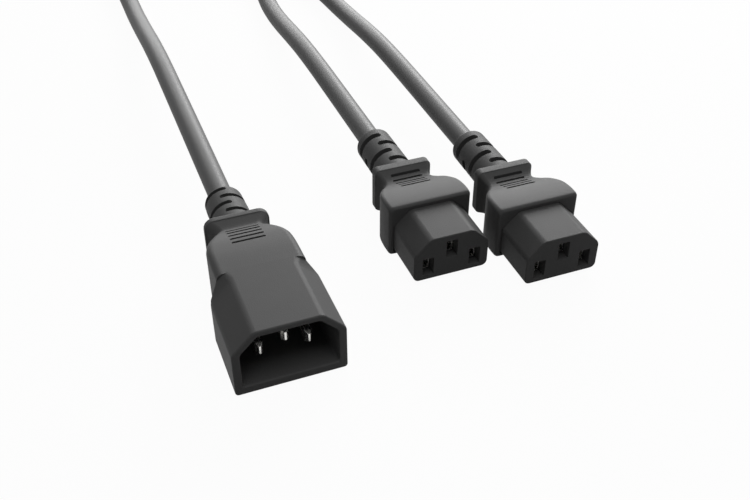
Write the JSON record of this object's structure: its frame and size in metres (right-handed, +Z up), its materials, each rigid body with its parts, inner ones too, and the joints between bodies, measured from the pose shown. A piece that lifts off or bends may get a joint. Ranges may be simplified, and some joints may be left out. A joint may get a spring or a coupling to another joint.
{
  "type": "power cord splitter",
  "caption": "Mains power cord splitter: a hooded male plug on a trunk cord feeds a pair of slotted female sockets on leg cords through a moulded Y junction.",
  "frame": {"origin": "centre of the plug hood's flat underside, on the surface the whole cord lies on", "axes": "+Z up; -Y is the way the plug's and the sockets' mating faces look, so the cords leave them along +Y; +X runs from the plug to the sockets"},
  "size_m": [0.1165, 0.4119, 0.0208],
  "materials": {
    "shell": "fine matte grain, moulded PVC",
    "carrier": "fine matte grain, moulded nylon",
    "jacket": "smooth satin cord jacket",
    "metal": "nickel plated, satin",
    "insulation_line": "satin core insulation",
    "insulation_neutral": "satin core insulation",
    "insulation_earth": "satin core insulation"
  },
  "bodies": {
    "root": {"plug_shell": "shell", "plug_carrier": "carrier", "plug_blade_line": "metal", "plug_core_line": "insulation_line", "plug_blade_earth": "metal", "plug_core_earth": "insulation_earth", "plug_blade_neutral": "metal", "plug_core_neutral": "insulation_neutral", "socket_a_shell": "shell", "socket_a_insert": "carrier", "socket_a_contact_line": "metal", "socket_a_core_line": "insulation_line", "socket_a_contact_earth": "metal", "socket_a_core_earth": "insulation_earth", "socket_a_contact_neutral": "metal", "socket_a_core_neutral": "insulation_neutral", "socket_b_shell": "shell", "socket_b_insert": "carrier", "socket_b_contact_line": "metal", "socket_b_core_line": "insulation_line", "socket_b_contact_earth": "metal", "socket_b_core_earth": "insulation_earth", "socket_b_contact_neutral": "metal", "socket_b_core_neutral": "insulation_neutral", "junction_shell": "shell", "junction_splice_line": "metal", "junction_core_trunk_line": "insulation_line", "junction_core_a_line": "insulation_line", "junction_core_b_line": "insulation_line", "junction_splice_earth": "metal", "junction_core_trunk_earth": "insulation_earth", "junction_core_a_earth": "insulation_earth", "junction_core_b_earth": "insulation_earth", "junction_splice_neutral": "metal", "junction_core_trunk_neutral": "insulation_neutral", "junction_core_a_neutral": "insulation_neutral", "junction_core_b_neutral": "insulation_neutral", "trunk_cord": "jacket", "leg_a_cord": "jacket", "leg_b_cord": "jacket"}
  },
  "joints": []
}
